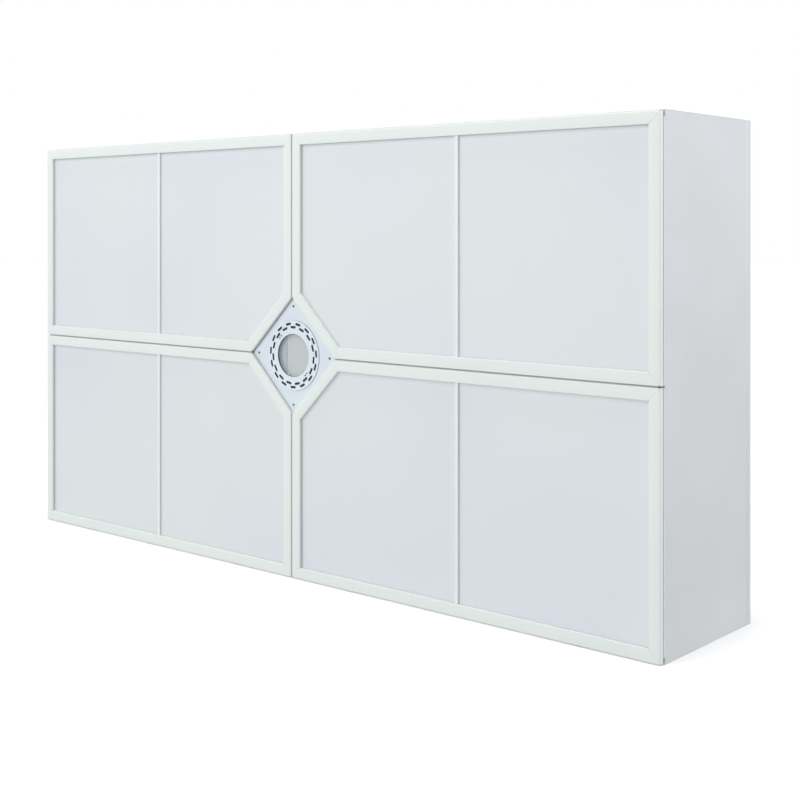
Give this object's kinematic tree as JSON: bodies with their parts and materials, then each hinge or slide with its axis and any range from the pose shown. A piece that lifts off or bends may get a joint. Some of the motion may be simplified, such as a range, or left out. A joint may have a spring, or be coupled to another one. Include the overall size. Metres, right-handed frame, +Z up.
{
  "type": "laminar flow ceiling",
  "caption": "Box-shaped clean-air ceiling unit with hinged cloth diffuser doors, a slotted ring round a lamp passage, filters on a deck, inlet collars and hanging brackets.",
  "frame": {"origin": "middle of the underside of the whole box, as the unit stands on its lower long side panel", "axes": "+X across the width; +Z up as it stands; the diffuser doors and the lamp opening face -Y, which points down at the floor when the unit hangs in use; the back panel with its inlet collars faces +Y, which is then up"},
  "size_m": [2.6, 0.56, 1.4],
  "materials": {
    "frame_coat": "satin white powder coat on aluminium extrusion",
    "rib_coat": "satin white powder coat",
    "casing_coat": "satin white powder coat on folded steel sheet",
    "inner_coat": "satin light grey powder coat",
    "blank_coat": "satin light grey powder coat",
    "cover_coat": "satin cool white powder coat",
    "ring_coat": "satin cool white powder coat",
    "diffuser_cloth": "fine woven polyester",
    "spline_rubber": "matt light grey",
    "seal_foam": "matt light grey closed-cell foam",
    "gasket_rubber": "matt black",
    "steel": "plain steel",
    "cast_key": "die cast",
    "case_metal": "satin anodised",
    "filter_paper": "pleated glass-fibre paper",
    "galvanised": "galvanised"
  },
  "bodies": {
    "root": {"back_panel": "casing_coat", "upper_side_panel": "casing_coat", "lower_side_panel": "casing_coat", "left_side_panel": "casing_coat", "right_side_panel": "casing_coat", "front_mullions": "casing_coat", "lamp_sleeve": "inner_coat", "blanking_plate": "blank_coat", "cover_plate": "cover_coat", "slotted_ring": "ring_coat", "cover_screws": "steel", "door_seals": "seal_foam", "catch_clips": "steel", "filter_deck": "inner_coat", "filter_cases": "case_metal", "filter_packs": "filter_paper", "filter_gaskets": "gasket_rubber", "filter_clamps": "galvanised", "inlet_collars": "galvanised", "hanging_brackets": "galvanised"},
    "upper_left_door": {"upper_left_outer_rail": "frame_coat", "upper_left_outer_stile": "frame_coat", "upper_left_inner_rail": "frame_coat", "upper_left_corner_rail": "frame_coat", "upper_left_inner_stile": "frame_coat", "upper_left_corner_keys": "cast_key", "upper_left_membrane": "diffuser_cloth", "upper_left_spline": "spline_rubber", "upper_left_rib": "rib_coat", "upper_left_hinge_pins": "steel"},
    "upper_right_door": {"upper_right_outer_rail": "frame_coat", "upper_right_outer_stile": "frame_coat", "upper_right_inner_rail": "frame_coat", "upper_right_corner_rail": "frame_coat", "upper_right_inner_stile": "frame_coat", "upper_right_corner_keys": "cast_key", "upper_right_membrane": "diffuser_cloth", "upper_right_spline": "spline_rubber", "upper_right_rib": "rib_coat", "upper_right_hinge_pins": "steel"},
    "lower_left_door": {"lower_left_outer_rail": "frame_coat", "lower_left_outer_stile": "frame_coat", "lower_left_inner_rail": "frame_coat", "lower_left_corner_rail": "frame_coat", "lower_left_inner_stile": "frame_coat", "lower_left_corner_keys": "cast_key", "lower_left_membrane": "diffuser_cloth", "lower_left_spline": "spline_rubber", "lower_left_rib": "rib_coat", "lower_left_hinge_pins": "steel"},
    "lower_right_door": {"lower_right_outer_rail": "frame_coat", "lower_right_outer_stile": "frame_coat", "lower_right_inner_rail": "frame_coat", "lower_right_corner_rail": "frame_coat", "lower_right_inner_stile": "frame_coat", "lower_right_corner_keys": "cast_key", "lower_right_membrane": "diffuser_cloth", "lower_right_spline": "spline_rubber", "lower_right_rib": "rib_coat", "lower_right_hinge_pins": "steel"}
  },
  "joints": [
    {"name": "upper_left_door_hinge", "type": "hinge", "parent": "root", "child": "upper_left_door", "pos_m": [-0.65, -0.2735, 1.39], "axis": [-1, 0, 0], "range_deg": [0, 90]},
    {"name": "upper_right_door_hinge", "type": "hinge", "parent": "root", "child": "upper_right_door", "pos_m": [0.65, -0.2735, 1.39], "axis": [-1, 0, 0], "range_deg": [0, 90]},
    {"name": "lower_left_door_hinge", "type": "hinge", "parent": "root", "child": "lower_left_door", "pos_m": [-0.65, -0.2735, 0.01], "axis": [1, 0, 0], "range_deg": [0, 90]},
    {"name": "lower_right_door_hinge", "type": "hinge", "parent": "root", "child": "lower_right_door", "pos_m": [0.65, -0.2735, 0.01], "axis": [1, 0, 0], "range_deg": [0, 90]}
  ]
}
